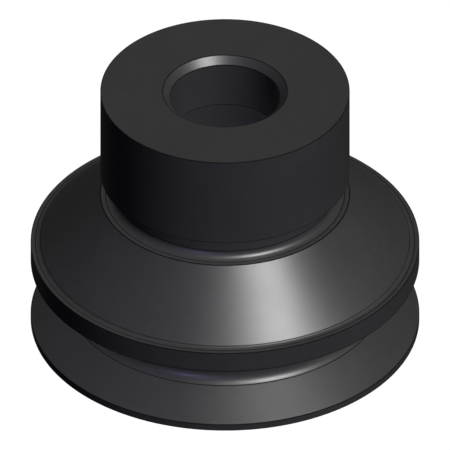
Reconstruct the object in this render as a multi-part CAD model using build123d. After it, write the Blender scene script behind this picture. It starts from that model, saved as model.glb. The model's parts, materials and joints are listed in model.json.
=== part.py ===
from build123d import *
from math import atan2, cos, degrees, radians, sin, tan
import os

# A bellows suction cup with one and a half folds, moulded in one piece of rubber.
# The axis is Z and the origin is on it, in the plane that the sealing lip rests on.
# Lengths are in millimetres and slopes in degrees from the sealing plane.

# Heights of the stretches of the outside, from the sealing plane up
lip_edge_height = 1.0
valley_height = 8.9
rim_band_height = 3.0
cone_height = 8.0
neck_height = 3.7
collar_height = 13.4

# Diameters of the outside
lip_diameter = 53.0
rim_diameter = 53.0
collar_diameter = 34.0

# Forms of the outside
neck_depth = 1.8
lip_slope = 32.0
fold_slope = 28.0
rim_ledge_width = 1.05
valley_round = 1.9
ledge_round = 1.0
neck_round = 1.1

# The bore for a fitting's stem, and the pocket for its retaining plate
bore_diameter = 15.0
bore_chamfer = 1.0
land_thickness = 7.6
pocket_diameter = 22.0

# Walls and forms of the inside
cone_wall = 2.5
fold_wall = 2.0
waist_wall = 2.0
lip_underside_slope = 23.0
sealing_width = 0.5

# Radii
lip_radius = lip_diameter / 2
rim_radius = rim_diameter / 2
collar_radius = collar_diameter / 2
neck_radius = collar_radius - neck_depth
bore_radius = bore_diameter / 2
pocket_radius = pocket_diameter / 2

# Levels above the sealing plane
rim_bottom = lip_edge_height + valley_height
rim_top = rim_bottom + rim_band_height
shoulder_level = rim_top + cone_height
collar_bottom = shoulder_level + neck_height
collar_top = collar_bottom + collar_height
land_bottom = collar_top - land_thickness

# The cone between the shoulder and the rim's ledge
ledge_radius = rim_radius - rim_ledge_width
cone_slope = degrees(atan2(cone_height, ledge_radius - collar_radius))


def across_wall(point, slope, wall):
    """The point on a sloping wall's other side, straight above or (for -wall) straight below."""
    radius, level = point
    return radius, level + wall / cos(radians(slope))


def meeting(point_a, slope_a, point_b, slope_b):
    """Where two straight lines of the section meet, each given by a point on it and its slope."""
    radius_a, level_a = point_a
    radius_b, level_b = point_b
    rise_a, rise_b = tan(radians(slope_a)), tan(radians(slope_b))
    radius = (level_b - level_a + rise_a * radius_a - rise_b * radius_b) / (rise_a - rise_b)
    return radius, level_a + rise_a * (radius - radius_a)


def at_radius(point, slope, radius):
    """The point of a sloping line that lies at a given radius."""
    return radius, point[1] + tan(radians(slope)) * (radius - point[0])


def corner(point, rounding=0.0):
    """A corner of the section: its place, and the radius that rounds it."""
    return point, rounding


def valley_corner():
    """Where the fold's underside and the lip's cone would meet, if nothing rounded the valley."""
    return meeting((lip_radius, lip_edge_height), -lip_slope, (rim_radius, rim_bottom), fold_slope)


def valley_radius():
    """The radius of the rounded valley at its deepest."""
    half_opening = radians(fold_slope + lip_slope) / 2
    lean = radians(fold_slope - lip_slope) / 2
    centre_radius = valley_corner()[0] + valley_round * cos(lean) / sin(half_opening)
    return centre_radius - valley_round


def lip_outside():
    """The lip's upright edge and the valley above it, from the sealing plane up."""
    return [
        corner((lip_radius, 0)),
        corner((lip_radius, lip_edge_height)),
        corner(valley_corner(), valley_round),
    ]


def fold_outside():
    """The fold's upright rim, the ledge on it, and the cone up to the shoulder."""
    return [
        corner((rim_radius, rim_bottom)),
        corner((rim_radius, rim_top)),
        corner((ledge_radius, rim_top), ledge_round),
        corner((collar_radius, shoulder_level)),
    ]


def collar_outside():
    """The neck groove, the collar's underside and wall, and its top face."""
    return [
        corner((neck_radius, shoulder_level), neck_round),
        corner((neck_radius, collar_bottom)),
        corner((collar_radius, collar_bottom)),
        corner((collar_radius, collar_top)),
        corner((bore_radius + bore_chamfer, collar_top)),
    ]


def collar_inside():
    """The bore, the underside of its land, and the pocket down to where it opens into the cone."""
    ceiling = across_wall((collar_radius, shoulder_level), cone_slope, -cone_wall)
    return [
        corner((bore_radius, collar_top - bore_chamfer)),
        corner((bore_radius, land_bottom)),
        corner((pocket_radius, land_bottom)),
        corner(at_radius(ceiling, -cone_slope, pocket_radius)),
    ]


def fold_inside():
    """The inside of the cone, fold, waist and lip, one wall away from the outside."""
    ceiling = across_wall((collar_radius, shoulder_level), cone_slope, -cone_wall)
    fold_floor = across_wall((rim_radius, rim_bottom), fold_slope, fold_wall)
    sealing_edge = (lip_radius - sealing_width, 0)
    waist_radius = valley_radius() - waist_wall
    return [
        corner(meeting(ceiling, -cone_slope, fold_floor, fold_slope)),
        corner(at_radius(fold_floor, fold_slope, waist_radius)),
        corner(at_radius(sealing_edge, -lip_underside_slope, waist_radius)),
        corner(sealing_edge),
    ]


def bellows_cup():
    """The whole cup: the section of its wall, turned about the axis."""
    corners = lip_outside() + fold_outside() + collar_outside() + collar_inside() + fold_inside()
    with BuildPart() as cup:
        with BuildSketch(Plane.XZ):
            with BuildLine():
                points = [point for point, rounding in corners]
                roundings = [rounding for point, rounding in corners]
                FilletPolyline(*points, radius=roundings, close=True)
            make_face()
        revolve(axis=Axis.Z)
    return cup.part


os.makedirs("parts", exist_ok=True)
export_step(bellows_cup(), "parts/bellows_cup.step")
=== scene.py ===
import json
import math

import bmesh
import bpy
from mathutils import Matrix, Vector


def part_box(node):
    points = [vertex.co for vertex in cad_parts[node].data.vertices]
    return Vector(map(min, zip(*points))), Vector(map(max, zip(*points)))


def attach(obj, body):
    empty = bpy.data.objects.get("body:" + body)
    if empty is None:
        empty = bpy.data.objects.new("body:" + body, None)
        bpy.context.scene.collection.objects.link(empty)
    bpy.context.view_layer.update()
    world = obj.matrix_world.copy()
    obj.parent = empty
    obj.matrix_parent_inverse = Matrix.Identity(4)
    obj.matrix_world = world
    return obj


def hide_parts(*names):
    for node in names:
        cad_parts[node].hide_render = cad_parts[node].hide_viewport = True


# The looks of a bellows cup moulded in black rubber, turned about Z and standing on its lip.
# The visual mesh has the section of the frame's node, and at its corners the fine roundings
# of a moulding. Blender works in metres, so the cup's lengths are millimetres times MM.

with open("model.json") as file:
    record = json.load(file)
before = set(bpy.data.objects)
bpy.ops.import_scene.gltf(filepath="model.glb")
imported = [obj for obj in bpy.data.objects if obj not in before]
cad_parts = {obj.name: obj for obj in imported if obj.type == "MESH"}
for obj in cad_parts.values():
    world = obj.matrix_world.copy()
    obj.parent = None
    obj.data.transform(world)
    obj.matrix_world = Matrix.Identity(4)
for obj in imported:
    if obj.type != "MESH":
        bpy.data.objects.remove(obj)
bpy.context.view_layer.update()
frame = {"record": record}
MM = 0.001

# What the frame gives: the lip and the rim are equally wide
MOUNTS = {mount["name"]: mount for mount in frame["record"]["mounts"]}
LOW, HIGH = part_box("bellows_cup")
SEALING_LEVEL = LOW.z
COLLAR_TOP = HIGH.z
LIP_RADIUS = max(HIGH.x, HIGH.y)
RIM_RADIUS = LIP_RADIUS
BORE_RADIUS = MOUNTS["bore"]["dims"]["r_mm"] * MM
POCKET_RADIUS = MOUNTS["plate_pocket"]["dims"]["r_mm"] * MM
LAND_BOTTOM = MOUNTS["plate_seat"]["pos_m"][2]

# Heights of the stretches of the outside, from the sealing plane up
LIP_EDGE_HEIGHT = 1.0 * MM
VALLEY_HEIGHT = 8.9 * MM
RIM_BAND_HEIGHT = 3.0 * MM
CONE_HEIGHT = 8.0 * MM
COLLAR_HEIGHT = 13.4 * MM

# The levels between them
LIP_EDGE_TOP = SEALING_LEVEL + LIP_EDGE_HEIGHT
RIM_BOTTOM = LIP_EDGE_TOP + VALLEY_HEIGHT
RIM_TOP = RIM_BOTTOM + RIM_BAND_HEIGHT
SHOULDER_LEVEL = RIM_TOP + CONE_HEIGHT
COLLAR_BOTTOM = COLLAR_TOP - COLLAR_HEIGHT

# Radii and forms of the outside
COLLAR_RADIUS = 17.0 * MM
NECK_DEPTH = 1.8 * MM
NECK_RADIUS = COLLAR_RADIUS - NECK_DEPTH
RIM_LEDGE_WIDTH = 1.05 * MM
LEDGE_RADIUS = RIM_RADIUS - RIM_LEDGE_WIDTH
BORE_CHAMFER = 1.0 * MM
LIP_SLOPE = math.radians(32)
FOLD_SLOPE = math.radians(28)
CONE_SLOPE = math.atan2(CONE_HEIGHT, LEDGE_RADIUS - COLLAR_RADIUS)
VALLEY_ROUND = 1.9 * MM
LEDGE_ROUND = 1.0 * MM
NECK_ROUND = 1.1 * MM

# Walls and forms of the inside
CONE_WALL = 2.5 * MM
FOLD_WALL = 2.0 * MM
WAIST_WALL = 2.0 * MM
LIP_UNDERSIDE_SLOPE = math.radians(23)
SEALING_WIDTH = 0.5 * MM
INSIDE_ROUND = 0.6 * MM

# The fine rounding of the moulding's sharp corners, and the radius from which roundings are polished
CRISP = 0.04 * MM
POLISHED_ROUND = 1.0 * MM

# Painted shade: dark lines painted along edges and where roundings end; half their width, their soft
# side, their darkness
LINE_HALF = 0.06 * MM
LINE_FADE = 0.02 * MM
FAINT, CLEAR, STRONG = 0.72, 0.86, 1.0

# Fineness of the mesh: steps round the axis and along a crisp corner
TURN_STEPS = 288
CRISP_STEPS = 4

# A larger rounding has at least so many steps, and none of them turns further than this
ROUND_STEPS = 4
ROUND_STEP_ANGLE = math.radians(7)

# The rubber's colour where it has least and most bloom, and the black of the shade painted in its edge
# lines
DEEP_BLACK = (0.0262, 0.0262, 0.0267, 1)
BLOOMED_BLACK = (0.0305, 0.0305, 0.0311, 1)
PAINTED_SHADE_BLACK = (0.003, 0.003, 0.003, 1)

# The noises in the rubber: their waves a metre, and how many finer layers they have
CLOUDS = {"scale": 90, "detail": 4}
MOTTLE = {"scale": 700, "detail": 3}
GRAIN = {"scale": 8000, "detail": 2}

# Where the values of a noise, and those of the bloom, mostly lie
NOISE_RANGE = (0.3, 0.7)
BLOOM_RANGE = (0.12, 0.42)

# The rubber's roughness, and how much the grain, the polish and the painted shade lines change it
ROUGHNESS_RANGE = (0.382, 0.412)
GRAIN_ROUGHNESS = 0.008
POLISH_SMOOTHING = 0.022
LINE_ROUGHNESS = 0.5

# How strongly the rubber and its painted shade lines mirror, and the relief of the grain
MIRRORING, LINE_MIRRORING = 0.5, 0.02
RUBBER_IOR = 1.5
GRAIN_DEPTH = 0.03 * MM
GRAIN_STRENGTH = 0.2

# The camera: an isometric view with no perspective
CAMERA_ELEVATION = math.atan(math.sqrt(0.5))
FRAME_WIDTH = 61.34 * MM
AIM_LEVEL = 15.62 * MM
CAMERA_DISTANCE = 0.4
CAMERA_NEAR, CAMERA_FAR = 0.01, 10

# The lights, each far away: how many degrees right of the camera and up, and how wide it looks
KEY_PLACE = {"azimuth": 42, "elevation": 53.2, "width": 21}
SHEEN_PLACE = {"azimuth": -24, "elevation": 13, "width": 16}
SIDE_PLACE = {"azimuth": -86, "elevation": 45, "width": 70}
FILL_PLACE = {"azimuth": 15, "elevation": -8, "width": 50}
BACK_PLACE = {"azimuth": -163, "elevation": -16, "width": 50}

# Their strengths, and the share of the key that casts shadows
KEY_STRENGTH = 4.55
KEY_SHADOW_SHARE = 0.04
SHEEN_STRENGTH = 0.5
SIDE_STRENGTH = 0.12
FILL_STRENGTH = 0.3
BACK_STRENGTH = 2.3

# Their colours
WHITE = (1.0, 1.0, 1.0)
VIOLET = (0.47, 0.40, 1.0)
BLUE = (0.05, 0.05, 1.0)

# The studio round the cup: its own light, its paleness and its size
WORLD_GLOW = 0.012
FLOOR_GLOW = 0.90
FLOOR_ALBEDO = 0.11
FLOOR_RADIUS = 1.0
FLOOR_DROP = 0.02 * MM
BACKDROP_GLOW = 1.0
BACKDROP_ALBEDO = 0.0
BACKDROP_RADIUS = 1.3
STUDIO_STEPS = 96
BACKDROP_BANDS = 24


def meeting(point_a, slope_a, point_b, slope_b):
    """Where two straight lines of the section meet, each given by a point on it and its slope."""
    radius_a, level_a = point_a
    radius_b, level_b = point_b
    rise_a, rise_b = math.tan(slope_a), math.tan(slope_b)
    radius = (level_b - level_a + rise_a * radius_a - rise_b * radius_b) / (rise_a - rise_b)
    return radius, level_a + rise_a * (radius - radius_a)


def at_radius(point, slope, radius):
    """The point of a sloping line that lies at a given radius."""
    return radius, point[1] + math.tan(slope) * (radius - point[0])


def deepest_radius(valley):
    """The radius of the rounded valley at its deepest, from the point where its sides would meet."""
    half_opening = (FOLD_SLOPE + LIP_SLOPE) / 2
    lean = (FOLD_SLOPE - LIP_SLOPE) / 2
    return valley[0] + VALLEY_ROUND * (math.cos(lean) / math.sin(half_opening) - 1)


def corner(point, lines=(0.0, 0.0), rounding=CRISP):
    """A corner of the section: its place, the darkness of the painted shade lines where it starts and
    ends, its rounding.
    """
    return {"point": Vector(point), "lines": lines, "rounding": rounding}


def section_corners():
    """The corners of the closed section, up the outside and down the inside."""
    lip_edge = (LIP_RADIUS, LIP_EDGE_TOP)
    rim_edge = (RIM_RADIUS, RIM_BOTTOM)
    valley = meeting(lip_edge, -LIP_SLOPE, rim_edge, FOLD_SLOPE)
    waist_radius = deepest_radius(valley) - WAIST_WALL
    ceiling = (COLLAR_RADIUS, SHOULDER_LEVEL - CONE_WALL / math.cos(CONE_SLOPE))
    fold_floor = (RIM_RADIUS, RIM_BOTTOM + FOLD_WALL / math.cos(FOLD_SLOPE))
    sealing_edge = (LIP_RADIUS - SEALING_WIDTH, SEALING_LEVEL)
    outside = [
        corner((LIP_RADIUS, SEALING_LEVEL), (CLEAR, CLEAR)),
        corner(lip_edge, (CLEAR, CLEAR)),
        corner(valley, (CLEAR, 0.0), VALLEY_ROUND),
        corner(rim_edge, (0.0, STRONG)),
        corner((RIM_RADIUS, RIM_TOP), (CLEAR, CLEAR)),
        corner((LEDGE_RADIUS, RIM_TOP), (CLEAR, FAINT), LEDGE_ROUND),
        corner((COLLAR_RADIUS, SHOULDER_LEVEL), (STRONG, STRONG)),
        corner((NECK_RADIUS, SHOULDER_LEVEL), (CLEAR, CLEAR), NECK_ROUND),
        corner((NECK_RADIUS, COLLAR_BOTTOM)),
        corner((COLLAR_RADIUS, COLLAR_BOTTOM), (0.0, CLEAR)),
        corner((COLLAR_RADIUS, COLLAR_TOP), (CLEAR, CLEAR)),
    ]
    inside = [
        corner((BORE_RADIUS + BORE_CHAMFER, COLLAR_TOP), (CLEAR, CLEAR)),
        corner((BORE_RADIUS, COLLAR_TOP - BORE_CHAMFER), (CLEAR, CLEAR)),
        corner((BORE_RADIUS, LAND_BOTTOM), (STRONG, 0.0)),
        corner((POCKET_RADIUS, LAND_BOTTOM)),
        corner(at_radius(ceiling, -CONE_SLOPE, POCKET_RADIUS), rounding=INSIDE_ROUND),
        corner(meeting(ceiling, -CONE_SLOPE, fold_floor, FOLD_SLOPE), rounding=INSIDE_ROUND),
        corner(at_radius(fold_floor, FOLD_SLOPE, waist_radius), rounding=INSIDE_ROUND),
        corner(at_radius(sealing_edge, -LIP_UNDERSIDE_SLOPE, waist_radius), rounding=INSIDE_ROUND),
        corner(sealing_edge, (FAINT, FAINT)),
    ]
    return outside + inside


def arc_stations(turn, here):
    """The angles along a corner's arc where the mesh has a ring, each with the darkness of its painted
    shade line.
    """
    first, last = here["lines"]
    if here["rounding"] == CRISP:
        shares = [step / CRISP_STEPS for step in range(CRISP_STEPS + 1)]
        return [(turn * share, first + (last - first) * share) for share in shares]
    held = LINE_HALF / here["rounding"]
    gone = (LINE_HALF + LINE_FADE) / here["rounding"]
    steps = max(ROUND_STEPS, math.ceil((turn - 2 * gone) / ROUND_STEP_ANGLE))
    middle = [(gone + (turn - 2 * gone) * step / steps, 0.0) for step in range(steps + 1)]
    return [(0.0, first), (held, first), *middle, (turn - held, last), (turn, last)]


def rounded(before, here, after):
    """The rings of one rounded corner, an arc tangent to both its sides: place, normal, painted shade
    line, polish.
    """
    arrive = (here["point"] - before["point"]).normalized()
    leave = (after["point"] - here["point"]).normalized()
    turn = math.atan2(arrive.x * leave.y - arrive.y * leave.x, arrive.dot(leave))
    setback = here["rounding"] * math.tan(abs(turn) / 2)
    start = here["point"] - arrive * setback
    outward = Vector((arrive.y, -arrive.x))
    side = 1 if turn > 0 else -1
    polish = 1.0 if here["rounding"] >= POLISHED_ROUND else 0.0
    centre = start - outward * here["rounding"] * side
    points = []
    for angle, line in arc_stations(abs(turn), here):
        spin = angle * side
        normal = Vector((
            outward.x * math.cos(spin) - outward.y * math.sin(spin),
            outward.x * math.sin(spin) + outward.y * math.cos(spin),
        ))
        points.append((centre + normal * here["rounding"] * side, normal, line, polish))
    first, first_normal, first_line, _ = points[0]
    last, last_normal, last_line, _ = points[-1]
    return [
        (first - arrive * (LINE_HALF + LINE_FADE), first_normal, 0.0, 0.0),
        (first - arrive * LINE_HALF, first_normal, first_line, 0.0),
        *points,
        (last + leave * LINE_HALF, last_normal, last_line, 0.0),
        (last + leave * (LINE_HALF + LINE_FADE), last_normal, 0.0, 0.0),
    ]


def section():
    """The rings of the whole section, once round."""
    corners = section_corners()
    found = []
    for index, here in enumerate(corners):
        before = corners[index - 1]
        after = corners[(index + 1) % len(corners)]
        found.extend(rounded(before, here, after))
    return found


def turned_mesh(name, outline):
    """A closed mesh: the outline turned about Z, with exact normals, painted shade lines along the edges,
    and polish.
    """
    vertices, normals, lines, polishes = [], [], [], []
    for step in range(TURN_STEPS):
        angle = 2 * math.pi * step / TURN_STEPS
        across, along = math.cos(angle), math.sin(angle)
        for point, normal, line, polish in outline:
            vertices.append((point.x * across, point.x * along, point.y))
            normals.append((normal.x * across, normal.x * along, normal.y))
            lines.append(line)
            polishes.append(polish)
    count = len(outline)
    faces = []
    for step in range(TURN_STEPS):
        here, there = step * count, (step + 1) % TURN_STEPS * count
        for index in range(count):
            after = (index + 1) % count
            faces.append((here + index, there + index, there + after, here + after))
    mesh = bpy.data.meshes.new(name)
    mesh.from_pydata(vertices, [], faces)
    mesh.polygons.foreach_set("use_smooth", [True] * len(faces))
    # Each point's darkness of painted shade, and its polish, kept as attributes
    for attribute, values in (("painted_edge_shade", lines), ("polish", polishes)):
        mesh.attributes.new(attribute, "FLOAT", "POINT").data.foreach_set("value", values)
    mesh.normals_split_custom_set_from_vertices(normals)
    mesh.update()
    return mesh


class Nodes:
    """Short calls that add nodes to a material and join them."""

    def __init__(self, name):
        self.material = bpy.data.materials.new(name)
        self.material.use_nodes = True
        self.tree = self.material.node_tree
        self.tree.nodes.clear()

    def add(self, kind, links=None, **settings):
        """A node of a kind, its settings, and its inputs as values or other nodes' sockets."""
        node = self.tree.nodes.new(kind)
        for key, value in settings.items():
            setattr(node, key, value)
        for key, value in (links or {}).items():
            if isinstance(value, bpy.types.NodeSocket):
                self.tree.links.new(value, node.inputs[key])
            else:
                node.inputs[key].default_value = value
        return node

    def attribute(self, name):
        """A value that the mesh holds at each of its points."""
        return self.add("ShaderNodeAttribute", attribute_name=name).outputs["Fac"]

    def noise(self, coordinates, scale, detail):
        """Smooth noise, whose scale is in waves a metre."""
        links = {"Vector": coordinates, "Scale": scale, "Detail": detail}
        return self.add("ShaderNodeTexNoise", links).outputs["Fac"]

    def ranged(self, value, source, target):
        """A value carried from one range to another, whose ends it doesn't pass."""
        links = {
            "Value": value,
            "From Min": source[0],
            "From Max": source[1],
            "To Min": target[0],
            "To Max": target[1],
        }
        return self.add("ShaderNodeMapRange", links).outputs["Result"]

    def math(self, operation, first, second):
        """Two numbers joined by an operation."""
        return self.add("ShaderNodeMath", {0: first, 1: second}, operation=operation).outputs[0]

    def mix(self, share, first, second):
        """Two colours mixed by a share."""
        links = {"Factor": share, 6: first, 7: second}
        return self.add("ShaderNodeMix", links, data_type="RGBA").outputs[2]

    def finished(self, **surface):
        """The material, with values or sockets for the shader's inputs, whose spaces are written as _."""
        links = {name.replace("_", " "): value for name, value in surface.items()}
        shader = self.add("ShaderNodeBsdfPrincipled", links)
        self.add("ShaderNodeOutputMaterial", {"Surface": shader.outputs["BSDF"]})
        return self.material


def rubber_material():
    """Black moulded rubber: satin, with a fine mould grain and uneven bloom, and shade painted in dark
    lines along the edges, where the highlights are dulled too.
    """
    nodes = Nodes("rubber_black_moulded")
    place = nodes.add("ShaderNodeTexCoord").outputs["Object"]
    # The painted shade lines along the edges and where roundings end
    line = nodes.attribute("painted_edge_shade")
    polish = nodes.attribute("polish")

    clouds = nodes.noise(place, **CLOUDS)
    mottle = nodes.noise(place, **MOTTLE)
    grain = nodes.noise(place, **GRAIN)

    bloom = nodes.ranged(nodes.math("MULTIPLY", clouds, mottle), BLOOM_RANGE, (0, 1))
    body = nodes.mix(bloom, DEEP_BLACK, BLOOMED_BLACK)

    satin = nodes.ranged(clouds, NOISE_RANGE, ROUGHNESS_RANGE)
    grained = nodes.ranged(grain, NOISE_RANGE, (-GRAIN_ROUGHNESS, GRAIN_ROUGHNESS))
    polished = nodes.math("MULTIPLY", polish, POLISH_SMOOTHING)
    dulled = nodes.math("MULTIPLY", line, LINE_ROUGHNESS)
    rough = nodes.math("SUBTRACT", nodes.math("ADD", satin, grained), polished)

    mean_height = nodes.math("MULTIPLY", nodes.math("ADD", mottle, grain), 0.5)
    relief = {"Height": mean_height, "Strength": GRAIN_STRENGTH, "Distance": GRAIN_DEPTH}
    # The painted shade lines blacken the colour, roughen it and take away most of its mirroring
    return nodes.finished(
        Base_Color=nodes.mix(line, body, PAINTED_SHADE_BLACK),
        Roughness=nodes.math("ADD", rough, dulled),
        Specular_IOR_Level=nodes.ranged(line, (0, 1), (MIRRORING, LINE_MIRRORING)),
        IOR=RUBBER_IOR,
        Normal=nodes.add("ShaderNodeBump", relief).outputs["Normal"],
    )


def glowing_material(name, glow, albedo):
    """A pale matt surface of the studio, lit partly by itself."""
    return Nodes(name).finished(
        Base_Color=(albedo, albedo, albedo, 1),
        Roughness=1.0,
        Specular_IOR_Level=0.0,
        Emission_Color=(*WHITE, 1),
        Emission_Strength=glow,
    )


def linked(name, data):
    """A new object in the scene."""
    made = bpy.data.objects.new(name, data)
    bpy.context.scene.collection.objects.link(made)
    return made


def rubber_cup():
    """The cup's finely rounded mesh, which stands for the frame's node."""
    cup = linked("cup_moulding", turned_mesh("cup_moulding", section()))
    cup.data.materials.append(rubber_material())
    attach(cup, "root")
    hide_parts("bellows_cup")


def studio_piece(name, glow, albedo, make, **form):
    """A glowing piece of the studio, which neither lights the rubber nor is mirrored in it."""
    shape = bmesh.new()
    make(shape, **form)
    mesh = bpy.data.meshes.new(name)
    shape.to_mesh(mesh)
    shape.free()
    mesh.materials.append(glowing_material(name + "_pale", glow, albedo))
    piece = linked(name, mesh)
    piece.visible_diffuse = False
    piece.visible_glossy = False
    piece.visible_shadow = False
    return piece


def studio():
    """A pale floor just under the lip, inside a pale round backdrop."""
    floor = studio_piece(
        "floor", FLOOR_GLOW, FLOOR_ALBEDO, bmesh.ops.create_circle,
        radius=FLOOR_RADIUS, segments=STUDIO_STEPS, cap_ends=True,
    )
    floor.location.z = SEALING_LEVEL - FLOOR_DROP
    backdrop = studio_piece(
        "backdrop", BACKDROP_GLOW, BACKDROP_ALBEDO, bmesh.ops.create_uvsphere,
        radius=BACKDROP_RADIUS, u_segments=STUDIO_STEPS, v_segments=BACKDROP_BANDS,
    )


def direction(azimuth, elevation):
    """The unit vector towards an azimuth right of the camera and an elevation, both in radians."""
    level = math.cos(elevation)
    return Vector((math.sin(azimuth) * level, -math.cos(azimuth) * level, math.sin(elevation)))


def far_light(name, place, strength, color, diffuse=True, glossy=True, shadow=False):
    """A light from far away, and whether it gives matt light, highlights and shadows."""
    light = bpy.data.lights.new(name, "SUN")
    light.angle = math.radians(place["width"])
    light.energy = strength
    light.color = color
    light.use_shadow = shadow
    # With multiple importance sampling, folds would still shade a light that casts no shadow
    light.cycles.use_multiple_importance_sampling = shadow
    lamp = linked(name, light)
    lamp.visible_diffuse = diffuse
    lamp.visible_glossy = glossy
    towards = direction(math.radians(place["azimuth"]), math.radians(place["elevation"]))
    lamp.rotation_euler = towards.to_track_quat("Z", "Y").to_euler()


def lights():
    """The white key, a violet and a blue sheen, two fills without highlights, and the world's glow."""
    far_light("key", KEY_PLACE, KEY_STRENGTH * (1 - KEY_SHADOW_SHARE), WHITE)
    far_light("key_shadow", KEY_PLACE, KEY_STRENGTH * KEY_SHADOW_SHARE, WHITE, shadow=True)
    far_light("sheen", SHEEN_PLACE, SHEEN_STRENGTH, VIOLET, diffuse=False)
    far_light("side_sheen", SIDE_PLACE, SIDE_STRENGTH, BLUE, diffuse=False)
    far_light("front_fill", FILL_PLACE, FILL_STRENGTH, BLUE, glossy=False)
    far_light("back_fill", BACK_PLACE, BACK_STRENGTH, WHITE, glossy=False)
    world = bpy.data.worlds.new("world")
    bpy.context.scene.world = world
    world.use_nodes = True
    background = world.node_tree.nodes["Background"]
    background.inputs["Color"].default_value = (*WHITE, 1)
    background.inputs["Strength"].default_value = WORLD_GLOW


def camera():
    """The isometric camera, looking along +Y and down."""
    data = bpy.data.cameras.new("camera")
    data.type = "ORTHO"
    data.ortho_scale = FRAME_WIDTH
    data.clip_start, data.clip_end = CAMERA_NEAR, CAMERA_FAR
    made = linked("camera", data)
    back = direction(0, CAMERA_ELEVATION)
    made.location = Vector((0, 0, AIM_LEVEL)) + back * CAMERA_DISTANCE
    made.rotation_euler = back.to_track_quat("Z", "Y").to_euler()
    bpy.context.scene.camera = made


def main():
    """Builds the scene."""
    bpy.context.scene.view_settings.view_transform = "Standard"
    rubber_cup()
    studio()
    lights()
    camera()


main()
bpy.context.view_layer.update()
